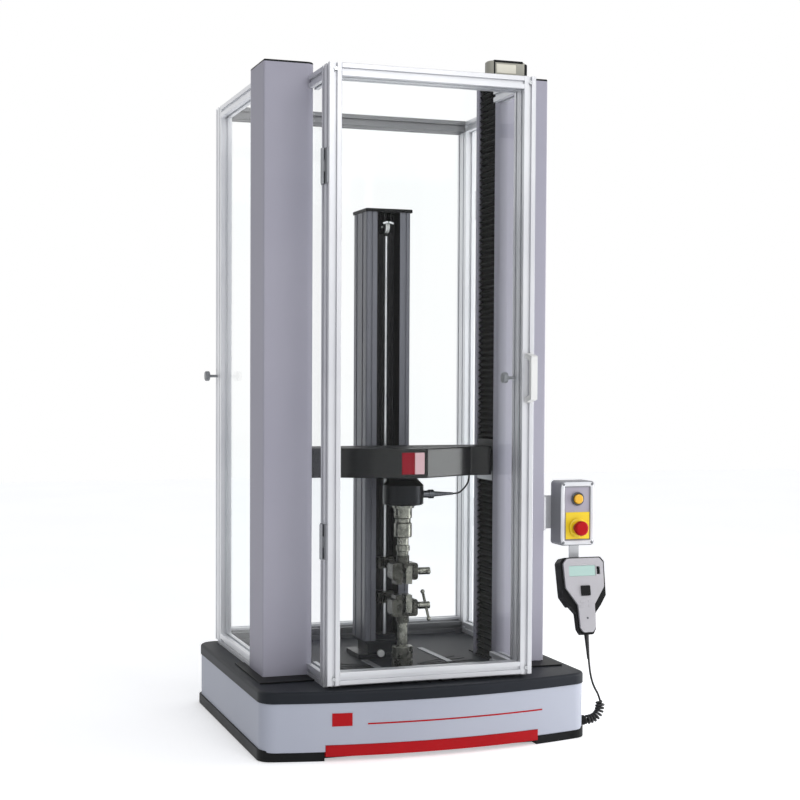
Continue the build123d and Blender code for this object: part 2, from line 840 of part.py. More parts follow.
def make_hand_face():
    """Front plate of the hand control with recesses for display and key and the jog wheel's slit."""
    face = hand_slab(hand_outline(hand_head_half, hand_face_end, hand_h, 3), 0, hand_face_t)
    low, high = display_z - display_h / 2, display_z + display_h / 2
    face -= block(-display_half, display_half - 8, -1, 2, low, high)
    low, high = jog_x - jog_t / 2, jog_x + jog_t / 2
    face -= block(low - 1, high + 1, -1, 99, display_z - jog_r, display_z + jog_r)
    face -= block(low - 4, high + 4, hand_face_t - 1, 99, display_z - 3, display_z + 3)
    hole = key_half + button_gap
    face -= block(-hole, hole, -1, 99, key_z - hole, key_z + hole)
    return hand_place(face)


def make_hand_key():
    """Square key of the hand control."""
    key = block(-key_half, key_half, -3, hand_face_t - 3.2, key_z - key_half, key_z + key_half)
    return hand_place(fillet(key.edges().filter_by(Axis.Y), 2.5))


def make_jog_wheel():
    """Knurled wheel at the right of the display."""
    wheel = rod(jog_x - jog_t / 2, 0, 0, jog_r - 1, jog_t, "X")
    teeth = PolarLocations(jog_r - 1, 18)
    wheel -= Rot(0, 90, 0) * teeth * Box(1.6, 1.6, 4 * jog_x)
    wheel += rod(jog_x - jog_t / 2 - 3, 0, 0, jog_pin_r, jog_t + 6, "X")
    return hand_place(Pos(0, jog_depth + hand_face_t, display_z) * wheel)


# Cords

def cord_tube(route, radius, name):
    """Tube of straight runs joined by tangent arcs, as large as the runs allow."""
    points = [Vector(*p) for p in route]
    radii = []
    for before, corner, after in zip(points, points[1:], points[2:]):
        turn = math.radians((corner - before).get_angle(after - corner))
        shorter = min((corner - before).length, (after - corner).length)
        radii.append(0.45 * shorter / math.tan(turn / 2))
    path = FilletPolyline(*points, radius=radii)
    start = Plane(origin=points[0], z_dir=points[1] - points[0])
    tube = sweep(start * Circle(radius), path=path)
    print(name, "radii", [round(r, 1) for r in radii], "length", round(path.length, 1),
          "volume ratio", round(tube.volume / (math.pi * radius**2 * path.length), 4))
    return tube


socket_z = 35
socket_y = -218
socket_len = 12
curly_route = [
    (base_width / 2 + socket_len, socket_y, socket_z),
    (432, socket_y, socket_z),
    (450, -217, 42),
    (461, -214, 57),
    (463, -210, 78),
]
lead_route = [
    (470, -130.4, 168.9),
    (470, -134.5, 149.2),
    (469.2, -143, 130),
    (467, -158, 113),
    (465, -177, 101),
    (464, -196, 92.5),
    (463, -210, 78),
]
cell_route = [
    (cell_r + relief_end, load_y, cell_z + connector_rise),
    (144, load_y, cell_z + connector_rise),
    (158, -52, 592),
    (171, -43, 602),
    (183, -32, 614),
    (183, -32, beam_z),
]


def make_relief():
    """Long tapered strain relief under the hand control."""
    y = hand_face_t + hand_grip_t / 2 - 2
    cone = Pos(0, y, -hand_h - 3 - relief_len / 2) * Cone(cord_r + 0.6, relief_r, relief_len)
    return hand_place(cone)


def make_socket():
    """Round socket low on the base's side for the curly cord."""
    return rod(base_width / 2, socket_y, socket_z, curly_r, socket_len, "X")


# Lamp

def make_lamp():
    """Oval lamp on the top rail of the front frame."""
    y = front_frame_y + half_p
    body = Pos(lamp_x, y, frame_top_z + lamp_h / 2) * Box(lamp_len, lamp_depth, lamp_h)
    body = fillet(body.edges().filter_by(Axis.Z), lamp_depth * 0.42)
    return fillet(body.faces().sort_by(Axis.Z)[-1].edges(), 5)


def main():
    """Build every piece and write its file."""
    os.makedirs("parts", exist_ok=True)
    save("base_plinth", make_plinth())
    save("front_trim", make_trim())
    save("base_body", make_body())
    save("table_cover", make_cover())
    column = make_column()
    save("columns", column, mirror_x(column))
    cap = make_cap()
    save("column_caps", cap, mirror_x(cap))
    rod_top = column_top - table_z
    save("guide_rods", *[rod(side * column_mid, y, table_z, rod_r, rod_top)
                         for side in (-1, 1) for y in (-rod_y, rod_y)])
    spans = ((cover_z, cover_h), (column_top - bearing_t, bearing_t))
    save("screw_bearings", *[ring(side * column_mid, 0, z, bearing_r, screw_r + fit, h)
                             for side in (-1, 1) for z, h in spans])
    save("left_screw", make_screw(-1))
    save("right_screw", make_screw(1))
    save("crosshead_beam", make_beam())
    save("crosshead_cover", make_crosshead_cover())
    save("screw_nuts", make_nut(-1), make_nut(1))
    save("load_cell", make_load_cell())
    save("load_cell_connector", make_connector())
    save("load_cell_lead", cord_tube(cell_route, 2.2, "load_cell_lead"))
    save("upper_adapter", make_upper_adapter())
    save("lower_adapter", make_lower_adapter())
    for name, place, bar_half, turn in (("upper", upper_place, upper_bar_half, 90),
                                        ("lower", lower_place, lower_bar_half, lower_bar_turn)):
        save(f"{name}_grip_body", place(grip_body()))
        save(f"{name}_jaw", place(grip_jaw()))
        save(f"{name}_grip_screw", place(grip_screw(bar_half, turn)))
    arm_low, arm_high = beam_z + arm_inset, beam_top - arm_inset
    upper_clamp, lower_clamp = make_clamp(arm_high), make_clamp(arm_low - clamp_h)
    save("bellows_clamps", upper_clamp, mirror_x(upper_clamp), lower_clamp, mirror_x(lower_clamp))
    upper = make_bellows(arm_high + clamp_h + seat, column_top - seat)
    lower = make_bellows(table_z + seat, arm_low - clamp_h - seat)
    save("upper_bellows", upper, mirror_x(upper))
    save("lower_bellows", lower, mirror_x(lower))
    save("tower_profile", make_tower())
    save("tower_foot", make_tower_foot())
    save("tower_cap", make_tower_cap())
    save("tower_wheel", make_tower_wheel())
    save("tower_rod", rod(0, tower_front + 22, tower_bottom_z + 1, tower_rod_r, tower_h - 60))
    save("upper_carriage", make_carriage(upper_carriage_z, True))
    save("lower_carriage", make_carriage(lower_carriage_z, False))
    y = front_frame_y + half_p
    save("front_frame", *frame_uprights(front_frame_half, y), *frame_rails(front_frame_half, y),
         *front_side_rails())
    y = rear_frame_y + half_p
    save("rear_frame", *frame_uprights(rear_frame_half, y), *frame_rails(rear_frame_half, y),
         *rear_side_rails())
    save("side_panes", *side_panes())
    for name, half, y in (("front_door", front_frame_half, front_door_y + half_p),
                          ("rear_door", rear_frame_half, rear_door_y + half_p)):
        save(f"{name}_frame", *frame_uprights(half, y, door_lift), *frame_rails(half, y, door_lift))
        save(f"{name}_pane", door_pane(half, y))
    front_pin_y = front_frame_y - door_gap / 2
    rear_pin_y = rear_door_y - door_gap / 2
    fixed = [hinge(-front_frame_half, front_pin_y, -1, z, True) for z in hinge_heights]
    fixed += [hinge(rear_frame_half, rear_pin_y, 1, z, True) for z in hinge_heights]
    save("hinge_posts", *fixed)
    save("front_door_hinges", *[hinge(-front_frame_half, front_pin_y, -1, z, False) for z in hinge_heights])
    save("rear_door_hinges", *[hinge(rear_frame_half, rear_pin_y, 1, z, False) for z in hinge_heights])
    save("front_door_handle", make_handle(front_frame_half - half_p, front_door_y, -1))
    save("rear_door_handle", make_catch(-rear_frame_half, rear_door_y + half_p))
    save("front_door_catch", make_catch(front_frame_half - profile_size, front_frame_y + half_p))
    save("control_box", make_control_box())
    save("control_bracket", make_bracket())
    save("start_button", make_start_button())
    save("stop_button", make_stop_button())
    save("hand_control_shell", make_hand_shell())
    save("hand_control_face", make_hand_face())
    save("hand_control_key", make_hand_key())
    save("jog_wheel", make_jog_wheel())
    save("hand_control_relief", make_relief())
    save("hand_control_lead", cord_tube(lead_route, cord_r, "hand_control_lead"))
    save("curly_cord", cord_tube(curly_route, curly_r, "curly_cord"))
    save("cord_socket", make_socket())
    save("frame_lamp", make_lamp())


main()
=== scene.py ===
import json
import math

import bpy
from mathutils import Matrix, Vector


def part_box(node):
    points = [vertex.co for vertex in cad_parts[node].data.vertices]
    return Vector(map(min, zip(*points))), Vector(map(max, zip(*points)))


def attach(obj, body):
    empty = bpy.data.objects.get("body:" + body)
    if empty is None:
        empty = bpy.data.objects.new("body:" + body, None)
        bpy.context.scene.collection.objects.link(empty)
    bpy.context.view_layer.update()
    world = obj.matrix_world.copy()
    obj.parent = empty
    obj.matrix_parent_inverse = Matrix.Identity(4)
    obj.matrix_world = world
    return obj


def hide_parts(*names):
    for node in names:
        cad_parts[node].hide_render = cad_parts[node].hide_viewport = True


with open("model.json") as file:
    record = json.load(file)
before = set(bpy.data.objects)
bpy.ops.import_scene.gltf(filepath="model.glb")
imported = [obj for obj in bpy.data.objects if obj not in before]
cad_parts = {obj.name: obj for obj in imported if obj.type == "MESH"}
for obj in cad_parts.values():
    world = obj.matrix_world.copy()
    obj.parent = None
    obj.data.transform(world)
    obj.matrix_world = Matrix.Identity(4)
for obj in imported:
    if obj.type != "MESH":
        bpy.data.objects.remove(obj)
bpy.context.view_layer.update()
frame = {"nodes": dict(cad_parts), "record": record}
cadNodes = frame["nodes"]
print("frame loaded:", len(cadNodes), "nodes")

mm = 0.001  # metres


# Colours and nodes

def linear(hexText):
    # sRGB hex to the linear colour that shaders want
    values = [int(hexText[i:i + 2], 16) / 255 for i in (1, 3, 5)]
    toLinear = lambda c: c / 12.92 if c <= 0.04045 else ((c + 0.055) / 1.055) ** 2.4
    return tuple(toLinear(c) for c in values) + (1.0,)


def addNode(tree, kind, settings=None, links=None):
    # one shader node with its settings, which are sockets or properties, and its incoming links
    node = tree.nodes.new(kind)
    for name, value in (settings or {}).items():
        if isinstance(name, int) or name in node.inputs:
            node.inputs[name].default_value = value
        else:
            setattr(node, name, value)
    for name, source in (links or {}).items():
        tree.links.new(source, node.inputs[name])
    return node


def newMaterial(name):
    # material with its node tree, its shader and the object coordinates that patterns read
    material = bpy.data.materials.new(name)
    material.use_nodes = True
    tree = material.node_tree
    shader = tree.nodes["Principled BSDF"]
    place = addNode(tree, "ShaderNodeTexCoord").outputs["Object"]
    return material, tree, shader, place


def mottled(tree, place, colours, scale):
    # colour that drifts softly between two tones
    noise = addNode(tree, "ShaderNodeTexNoise", {"Scale": scale, "Detail": 4.0}, {"Vector": place})
    ramp = addNode(tree, "ShaderNodeValToRGB", None, {"Fac": noise.outputs["Fac"]})
    for element, position, colour in zip(ramp.color_ramp.elements, (0.35, 0.65), colours):
        element.position = position
        element.color = linear(colour)
    return ramp.outputs["Color"]


def roughnessRange(tree, place, scale, low, high):
    # roughness that drifts between two values, as handling and cleaning leave it
    noise = addNode(tree, "ShaderNodeTexNoise", {"Scale": scale, "Detail": 3.0}, {"Vector": place})
    spread = addNode(tree, "ShaderNodeMapRange", {"To Min": low, "To Max": high},
                     {"Value": noise.outputs["Fac"]})
    return spread.outputs["Result"]


def bumpFrom(tree, height, distance, strength):
    # surface relief from a pattern, its distance the height of the relief in metres
    bump = addNode(tree, "ShaderNodeBump", {"Distance": distance, "Strength": strength}, {"Height": height})
    return bump.outputs["Normal"]


def stretched(tree, place, factors):
    # object coordinates drawn out along one axis, for brushed and extruded surfaces
    return addNode(tree, "ShaderNodeMapping", {"Scale": factors}, {"Vector": place}).outputs["Vector"]


def powderCoat(name, colours, roughness=0.42, grain=900.0, specular=0.22):
    # sprayed and baked powder coat: a soft sheen broken by orange peel, its lumps 1.1 to 2 mm wide
    # and drawn higher than the real hundredths of a millimetre so that they show
    material, tree, shader, place = newMaterial(name)
    tree.links.new(mottled(tree, place, colours, 3.0), shader.inputs["Base Color"])
    peel = addNode(tree, "ShaderNodeTexNoise", {"Scale": grain, "Detail": 2.0}, {"Vector": place})
    tree.links.new(bumpFrom(tree, peel.outputs["Fac"], 0.0002, 0.25), shader.inputs["Normal"])
    sheen = roughnessRange(tree, place, 6.0, roughness - 0.05, roughness + 0.05)
    tree.links.new(sheen, shader.inputs["Roughness"])
    shader.inputs["Specular IOR Level"].default_value = specular
    return material


# the tower's open channel, whose inside carries painted shade
channelSet = {"half": 0.0304, "front": 0.0625, "back": 0.1085}  # the tower's open channel, in metres


def channelCoat(name, colours, paintedChannelShade):
    # powder-coated extrusion whose open front channel is painted near black, as painted shade in the recess
    material = powderCoat(name, colours, 0.36)
    tree = material.node_tree
    shader = tree.nodes["Principled BSDF"]
    paint = shader.inputs["Base Color"].links[0].from_socket
    place = addNode(tree, "ShaderNodeTexCoord").outputs["Object"]
    parts = addNode(tree, "ShaderNodeSeparateXYZ", None, {"Vector": place})
    sideways = addNode(tree, "ShaderNodeMath", {"operation": "ABSOLUTE"}, {0: parts.outputs["X"]})
    across = addNode(tree, "ShaderNodeMath", {"operation": "LESS_THAN", 1: channelSet["half"]},
                     {0: sideways.outputs["Value"]})
    behindLip = addNode(tree, "ShaderNodeMath", {"operation": "GREATER_THAN", 1: channelSet["front"]},
                        {0: parts.outputs["Y"]})
    beforeWall = addNode(tree, "ShaderNodeMath", {"operation": "LESS_THAN", 1: channelSet["back"]},
                         {0: parts.outputs["Y"]})
    depth = addNode(tree, "ShaderNodeMath", {"operation": "MULTIPLY"},
                    {0: behindLip.outputs["Value"], 1: beforeWall.outputs["Value"]})
    mask = addNode(tree, "ShaderNodeMath", {"operation": "MULTIPLY"},
                   {0: across.outputs["Value"], 1: depth.outputs["Value"]})
    # painted shade: the inside of the channel takes a near-black colour
    mix = addNode(tree, "ShaderNodeMixRGB", {"Color2": linear(paintedChannelShade)},
                  {"Fac": mask.outputs["Value"], "Color1": paint})
    tree.links.new(mix.outputs["Color"], shader.inputs["Base Color"])
    return material


def mouldedPlastic(name, colours, roughness=0.5, grain=1400.0, coat=0.0, specular=0.5):
    # injection-moulded ABS or polyamide: an even satin tone over spark-eroded grain, most of it 0.7 mm,
    # drawn coarser than the real 0.1 mm so that it shows
    material, tree, shader, place = newMaterial(name)
    tree.links.new(mottled(tree, place, colours, 9.0), shader.inputs["Base Color"])
    grains = addNode(tree, "ShaderNodeTexVoronoi", {"Scale": grain}, {"Vector": place})
    tree.links.new(bumpFrom(tree, grains.outputs["Distance"], 0.00012, 0.3), shader.inputs["Normal"])
    sheen = roughnessRange(tree, place, 12.0, roughness - 0.06, roughness + 0.06)
    tree.links.new(sheen, shader.inputs["Roughness"])
    shader.inputs["Coat Weight"].default_value = coat
    shader.inputs["Coat Roughness"].default_value = 0.08
    shader.inputs["Specular IOR Level"].default_value = specular
    return material


def groundSteel(name, colours, factors=(400.0, 400.0, 25.0), roughness=0.28):
    # turned or ground steel: reflections drawn out by marks about a millimetre apart, and on zinc plate
    # blurred by even spots of 4 mm, all drawn coarser than the real ones so that they show
    material, tree, shader, place = newMaterial(name)
    marks = addNode(tree, "ShaderNodeTexNoise", {"Scale": 3.0, "Detail": 6.0},
                    {"Vector": stretched(tree, place, factors)})
    tree.links.new(mottled(tree, place, colours, 14.0), shader.inputs["Base Color"])
    spread = addNode(tree, "ShaderNodeMapRange", {"To Min": roughness - 0.08, "To Max": roughness + 0.1},
                     {"Value": marks.outputs["Fac"]})
    tree.links.new(spread.outputs["Result"], shader.inputs["Roughness"])
    tree.links.new(bumpFrom(tree, marks.outputs["Fac"], 0.0001, 0.2), shader.inputs["Normal"])
    shader.inputs["Metallic"].default_value = 1.0
    return material


# the lying rear rails, whose anodised colour is darkened as painted shade
railSet = {"middle": 0.869, "reach": 0.678, "half": 0.3285}  # the rear rails, by height and half width


def anodised(name, colours, paintedRailShade=None):
    # extruded and anodised aluminium: a matt skin that faint die lines, 0.8 mm apart, streak along the bar
    # paintedRailShade is painted shade: a darker colour on the lying rails at both ends of the height, where
    # less light reaches them
    material, tree, shader, place = newMaterial(name)
    lines = addNode(tree, "ShaderNodeTexNoise", {"Scale": 4.0, "Detail": 5.0},
                    {"Vector": stretched(tree, place, (300.0, 300.0, 3.0))})
    tone = mottled(tree, place, colours, 5.0)
    # painted shade: the lying rails between the rear posts take a darker colour
    if paintedRailShade:
        parts = addNode(tree, "ShaderNodeSeparateXYZ", None, {"Vector": place})
        fromMiddle = addNode(tree, "ShaderNodeMath", {"operation": "SUBTRACT", 1: railSet["middle"]},
                             {0: parts.outputs["Z"]})
        height = addNode(tree, "ShaderNodeMath", {"operation": "ABSOLUTE"}, {0: fromMiddle.outputs["Value"]})
        lying = addNode(tree, "ShaderNodeMath", {"operation": "GREATER_THAN", 1: railSet["reach"]},
                        {0: height.outputs["Value"]})
        sideways = addNode(tree, "ShaderNodeMath", {"operation": "ABSOLUTE"}, {0: parts.outputs["X"]})
        between = addNode(tree, "ShaderNodeMath", {"operation": "LESS_THAN", 1: railSet["half"]},
                          {0: sideways.outputs["Value"]})
        mask = addNode(tree, "ShaderNodeMath", {"operation": "MULTIPLY"},
                       {0: lying.outputs["Value"], 1: between.outputs["Value"]})
        mix = addNode(tree, "ShaderNodeMixRGB", {"Color2": linear(paintedRailShade)},
                      {"Fac": mask.outputs["Value"], "Color1": tone})
        tone = mix.outputs["Color"]
    tree.links.new(tone, shader.inputs["Base Color"])
    tree.links.new(bumpFrom(tree, lines.outputs["Fac"], 0.00008, 0.25), shader.inputs["Normal"])
    tree.links.new(roughnessRange(tree, place, 20.0, 0.34, 0.48), shader.inputs["Roughness"])
    shader.inputs["Metallic"].default_value = 0.55
    return material


def oiledSteel(name, colours):
    # oiled turned steel of the load train: patches of oil a centimetre wide shine among duller metal,
    # and turning marks 0.7 mm apart, coarser than the real ones, ring it
    material, tree, shader, place = newMaterial(name)
    patches = addNode(tree, "ShaderNodeTexNoise", {"Scale": 90.0, "Detail": 5.0}, {"Vector": place})
    marks = addNode(tree, "ShaderNodeTexNoise", {"Scale": 3.0, "Detail": 4.0},
                    {"Vector": stretched(tree, place, (40.0, 40.0, 500.0))})
    tree.links.new(mottled(tree, place, colours, 70.0), shader.inputs["Base Color"])
    spread = addNode(tree, "ShaderNodeMapRange", {"To Min": 0.16, "To Max": 0.42},
                     {"Value": patches.outputs["Fac"]})
    tree.links.new(spread.outputs["Result"], shader.inputs["Roughness"])
    tree.links.new(bumpFrom(tree, marks.outputs["Fac"], 0.0002, 0.35), shader.inputs["Normal"])
    shader.inputs["Metallic"].default_value = 1.0
    return material


def foldedRubber(name, colours):
    # coated bellows cloth: nearly black and dull, with a weave of 0.6 mm, coarser than the real thread
    material, tree, shader, place = newMaterial(name)
    weave = addNode(tree, "ShaderNodeTexWave", {"Scale": 500.0, "Distortion": 1.0}, {"Vector": place})
    tree.links.new(mottled(tree, place, colours, 30.0), shader.inputs["Base Color"])
    tree.links.new(bumpFrom(tree, weave.outputs["Fac"], 0.0001, 0.3), shader.inputs["Normal"])
    tree.links.new(roughnessRange(tree, place, 40.0, 0.5, 0.7), shader.inputs["Roughness"])
    shader.inputs["Specular IOR Level"].default_value = 0.06
    return material


def clearSheet(name):
    # clear polycarbonate door sheet: lets light straight through, mirrors a little at a glancing angle
    material, tree, shader, place = newMaterial(name)
    tree.nodes.remove(shader)
    haze = mottled(tree, place, ("#feffff", "#ffffff"), 2.0)
    clear = addNode(tree, "ShaderNodeBsdfTransparent", None, {"Color": haze})
    gloss = addNode(tree, "ShaderNodeBsdfGlossy", {"Color": linear("#ffffff")},
                    {"Roughness": roughnessRange(tree, place, 3.0, 0.02, 0.05)})
    facing = addNode(tree, "ShaderNodeLayerWeight", {"Blend": 0.5})
    steep = addNode(tree, "ShaderNodeMath", {"operation": "POWER", 1: 4.0}, {0: facing.outputs["Facing"]})
    share = addNode(tree, "ShaderNodeMath", {"operation": "MULTIPLY_ADD", 1: 0.2, 2: 0.006},
                    {0: steep.outputs["Value"]})
    mix = addNode(tree, "ShaderNodeMixShader", None,
                  {"Fac": share.outputs["Value"], 1: clear.outputs["BSDF"], 2: gloss.outputs["BSDF"]})
    tree.links.new(mix.outputs["Shader"], tree.nodes["Material Output"].inputs["Surface"])
    return material


def displayGlass(name, colours):
    # reflective display panel: pale green with faint rows 2 mm apart under a clear cover
    material, tree, shader, place = newMaterial(name)
    rows = addNode(tree, "ShaderNodeTexWave", {"Scale": 160.0, "bands_direction": "Z"}, {"Vector": place})
    tone = addNode(tree, "ShaderNodeMixRGB", {"Color1": linear(colours[0]), "Color2": linear(colours[1])},
                   {"Fac": rows.outputs["Fac"]})
    tree.links.new(tone.outputs["Color"], shader.inputs["Base Color"])
    tree.links.new(roughnessRange(tree, place, 30.0, 0.1, 0.2), shader.inputs["Roughness"])
    shader.inputs["Coat Weight"].default_value = 0.6
    return material


# finishes, by the record's slot or by a name of their own
materials = {
    "lilac_paint": powderCoat("columnPowderCoat", ("#a8a6b3", "#adabb7"), 0.5),
    "bodyPaint": powderCoat("baseBodyPaint", ("#b3b7c4", "#b8bcc8")),
    "slate_cover": powderCoat("slateTableCoat", ("#1e2126", "#24272d"), 0.5, 900.0, 0.15),
    # the tower, with painted shade inside its channel
    "tower_grey": channelCoat("towerProfileGrey", ("#73747b", "#7a7b82"), "#0f0f12"),
    "zincPlate": groundSteel("zincPlatedSteel", ("#8c8e92", "#9a9ca0"), (80.0, 80.0, 80.0), 0.42),
    "knobGrey": mouldedPlastic("greyKnobPlastic", ("#8d8f92", "#97999c"), 0.4),
    "rimWhite": mouldedPlastic("whiteBoxRim", ("#dcdde0", "#e4e5e8"), 0.4),
    "palePrint": mouldedPlastic("paleBadgeField", ("#dcb3b8", "#e4c2c6"), 0.3, 900.0, 0.0, 0.3),
    "deepRed": mouldedPlastic("darkBadgeField", ("#86001a", "#94001c"), 0.34, 900.0, 0.0, 0.2),
    "cast_beam": powderCoat("crossheadStructurePaint", ("#1c1d1f", "#222325"), 0.5, 500.0, 0.15),
    "black_plastic": mouldedPlastic("blackMouldedPlastic", ("#0c0d0e", "#111213"), 0.5, 1400.0, 0.0, 0.15),
    "red_plastic": mouldedPlastic("redGlossPlastic", ("#b4000e", "#aa000d"), 0.36, 900.0, 0.0, 0.2),
    "white_plastic": mouldedPlastic("whitePolyamide", ("#e9e9e6", "#f0f0ed"), 0.45),
    "grey_plastic": mouldedPlastic("greyBoxPlastic", ("#88898d", "#8f9094"), 0.45),
    "panelPlastic": mouldedPlastic("lilacPanelPlastic", ("#a6a0ad", "#aca7b3"), 0.4),
    "amber_plastic": mouldedPlastic("amberButtonPlastic", ("#eeb018", "#f2bb2a"), 0.3, 900.0, 0.4),
    "yellowPlastic": mouldedPlastic("yellowCollarPlastic", ("#f0cf1e", "#f3d62c"), 0.35),
    "silver_face": mouldedPlastic("silverFacePlastic", ("#b3b1b5", "#bab8bc"), 0.38),
    "cream_plastic": mouldedPlastic("creamLampWindow", ("#e9e5d3", "#f0ecdc"), 0.35),
    "lampBody": mouldedPlastic("oliveGreyLampBody", ("#a3a195", "#aba99d"), 0.4),
    "gloss_black": mouldedPlastic("polishedBlackCover", ("#090a0b", "#0d0e0f"), 0.17, 300.0, 0.0, 0.36),
    "cord_rubber": mouldedPlastic("blackCordSheath", ("#101012", "#18181b"), 0.5, 2200.0),
    "bellows_rubber": foldedRubber("bellowsCloth", ("#09090a", "#0e0e10")),
    "ground_steel": groundSteel("groundSteel", ("#c9cbcd", "#b4b6b8")),
    "cell_steel": groundSteel("turnedCellSteel", ("#1d1e20", "#26272a"), (30.0, 30.0, 500.0), 0.34),
    "trainSteel": oiledSteel("turnedTrainSteel", ("#8a8a82", "#5f605a")),
    "gripSteel": oiledSteel("blackenedGripSteel", ("#4a4a45", "#2e2e2b")),
    "footSlate": powderCoat("towerFootCoat", ("#1d1f22", "#24262a"), 0.35),
    "dark_steel": groundSteel("bluedSteel", ("#56585c", "#66686c"), (60.0, 60.0, 300.0), 0.35),
    "anodised_profile": anodised("anodisedProfile", ("#cdced2", "#d6d7da")),
    # the rear frame, with painted shade on its lying rails
    "rearProfile": anodised("rearProfilePaintedRailShade", ("#e6e7ea", "#eeeff1"), "#6d6e70"),
    "clear_pane": clearSheet("clearDoorSheet"),
    "display": displayGlass("handDisplay", ("#a9cbc3", "#bad4cd")),
}

# finishes of single nodes that differ from their slot's own
finishNodes = {
    "bodyPaint": ("base_body",),
    "rearProfile": ("rear_frame", "rear_door_frame"),
    "zincPlate": ("hinge_posts", "front_door_hinges", "rear_door_hinges"),
    "knobGrey": ("front_door_catch", "rear_door_handle"),
    "trainSteel": ("upper_adapter", "lower_adapter", "upper_jaw", "lower_jaw", "upper_grip_screw",
                   "lower_grip_screw"),
    "gripSteel": ("upper_grip_body", "lower_grip_body", "upper_carriage", "lower_carriage"),
    "footSlate": ("tower_foot",),
    "lampBody": ("frame_lamp",),
    "anodised_profile": ("control_bracket",),
}
finishOf = {node: finish for finish, nodes in finishNodes.items() for node in nodes}
for entry in frame["record"]["subparts"]:
    finish = finishOf.get(entry["node"], entry["material_slot"])
    for materialSlot in cadNodes[entry["node"]].material_slots:
        materialSlot.material = materials[finish]
print("materials on the frame:", len(materials))


# Pieces made with operators


def settle(piece, name, finish, body="machine"):
    # name, finish and body of a new piece, with its place written into its mesh
    bpy.ops.object.select_all(action="DESELECT")
    piece.select_set(True)
    bpy.context.view_layer.objects.active = piece
    bpy.ops.object.transform_apply(location=True, rotation=True, scale=True)
    piece.name = name
    piece.data.name = name
    piece.data.materials.clear()
    piece.data.materials.append(materials[finish])
    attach(piece, body)
    return piece


def bevelled(piece, width, segments=3):
    # rounded edges, applied to the mesh
    modifier = piece.modifiers.new("edges", "BEVEL")
    modifier.width = width
    modifier.segments = segments
    modifier.limit_method = "ANGLE"
    bpy.context.view_layer.objects.active = piece
    bpy.ops.object.modifier_apply(modifier="edges")
    for face in piece.data.polygons:
        face.use_smooth = False
    return piece


def plate(name, low, high, finish, edge=0.001, body="machine", turn=None):
    # block with rounded edges between two corners, in metres, turned about its own centre
    low, high = Vector(low), Vector(high)
    bpy.ops.object.select_all(action="DESELECT")
    bpy.ops.mesh.primitive_cube_add(size=1, location=(low + high) / 2, rotation=turn or (0, 0, 0))
    piece = bpy.context.object
    piece.scale = high - low
    bpy.ops.object.transform_apply(location=False, rotation=False, scale=True)
    return settle(bevelled(piece, edge), name, finish, body)


def disc(name, centre, radius, depth, axis, finish, edge=0.0006, body="machine", sides=40):
    # short cylinder with rounded rims, centred on a point
    quarter = math.pi / 2
    turn = {"X": (0, quarter, 0), "Y": (quarter, 0, 0), "Z": (0, 0, 0)}[axis]
    bpy.ops.object.select_all(action="DESELECT")
    bpy.ops.mesh.primitive_cylinder_add(vertices=sides, radius=radius, depth=depth, location=centre,
                                        rotation=turn)
    piece = bevelled(bpy.context.object, edge, 2)
    return settle(piece, name, finish, body)


headSet = {"height": 0.6, "edge": 0.12, "rim": 0.45, "socket": 0.35}  # a screw head, in shares of its radius


def socketScrew(name, centre, radius, axis, finish="dark_steel", body="machine"):
    # cap screw head with its hexagon socket, standing out along the axis by its sign
    direction = -1 if axis[0] == "-" else 1
    letter = axis[-1]
    step = Vector([direction if letter == other else 0 for other in "XYZ"])
    head = disc(name, Vector(centre) + step * radius * (headSet["height"] / 2), radius,
                radius * headSet["height"], letter, finish, radius * headSet["edge"], body, 24)
    bpy.context.view_layer.objects.active = head
    bpy.ops.object.mode_set(mode="EDIT")
    bpy.ops.mesh.select_all(action="DESELECT")
    bpy.ops.object.mode_set(mode="OBJECT")
    faces = sorted(head.data.polygons, key=lambda face: face.center.dot(step) + face.area * 100)
    faces[-1].select = True
    bpy.ops.object.mode_set(mode="EDIT")
    bpy.ops.mesh.select_mode(type="FACE")
    bpy.ops.mesh.inset(thickness=radius * headSet["rim"], depth=0)
    bpy.ops.mesh.extrude_region_move(TRANSFORM_OT_translate={"value": -step * radius * headSet["socket"]})
    bpy.ops.object.mode_set(mode="OBJECT")


# Cords first, and the camera

# routes in millimetres, the CAD cords' own points
cordSet = {
    "leadRoute": [(470, -130.4, 168.9), (470, -134.5, 149.2), (469.2, -143, 130), (467, -158, 113),
                  (465, -177, 101), (464, -196, 92.5), (463, -210, 78)],
    "curlyRoute": [(415, -218, 35), (432, -218, 35), (450, -217, 42), (461, -214, 57), (463, -210, 78)],
    "cellRoute": [(130, -57, 584), (144, -57, 584), (158, -52, 592), (171, -43, 602), (183, -32, 614),
                  (183, -32, 628)],
    "leadDiameter": 5.2, "cellDiameter": 4.4, "wireDiameter": 5.6, "coilRadius": 9.2, "coilPitch": 7.6,
    "pointsPerTurn": 14, "drawIn": 0.006,
}


def cordCurve(name, points, radius):
    # one open spline whose control points are the route's points
    curve = bpy.data.curves.new(name, "CURVE")
    curve.dimensions = "3D"
    curve.resolution_u = 16
    spline = curve.splines.new("NURBS")
    spline.points.add(len(points) - 1)
    for point, place in zip(spline.points, points):
        point.co = (*place, 1.0)
    spline.order_u = 3
    spline.use_endpoint_u = True
    curve.bevel_depth = radius
    curve.bevel_resolution = 5
    curve.use_fill_caps = True
    piece = bpy.data.objects.new(name, curve)
    bpy.context.collection.objects.link(piece)
    piece.data.materials.append(materials["cord_rubber"])
    return piece


def metres(route):
    # a route in millimetres as points in metres
    return [Vector(point) * mm for point in route]


def lineOf(curveObject):
    # points along a curve with no bevel
    mesh = bpy.data.meshes.new_from_object(curveObject)
    points = [vertex.co.copy() for vertex in mesh.vertices]
    bpy.data.meshes.remove(mesh)
    return points


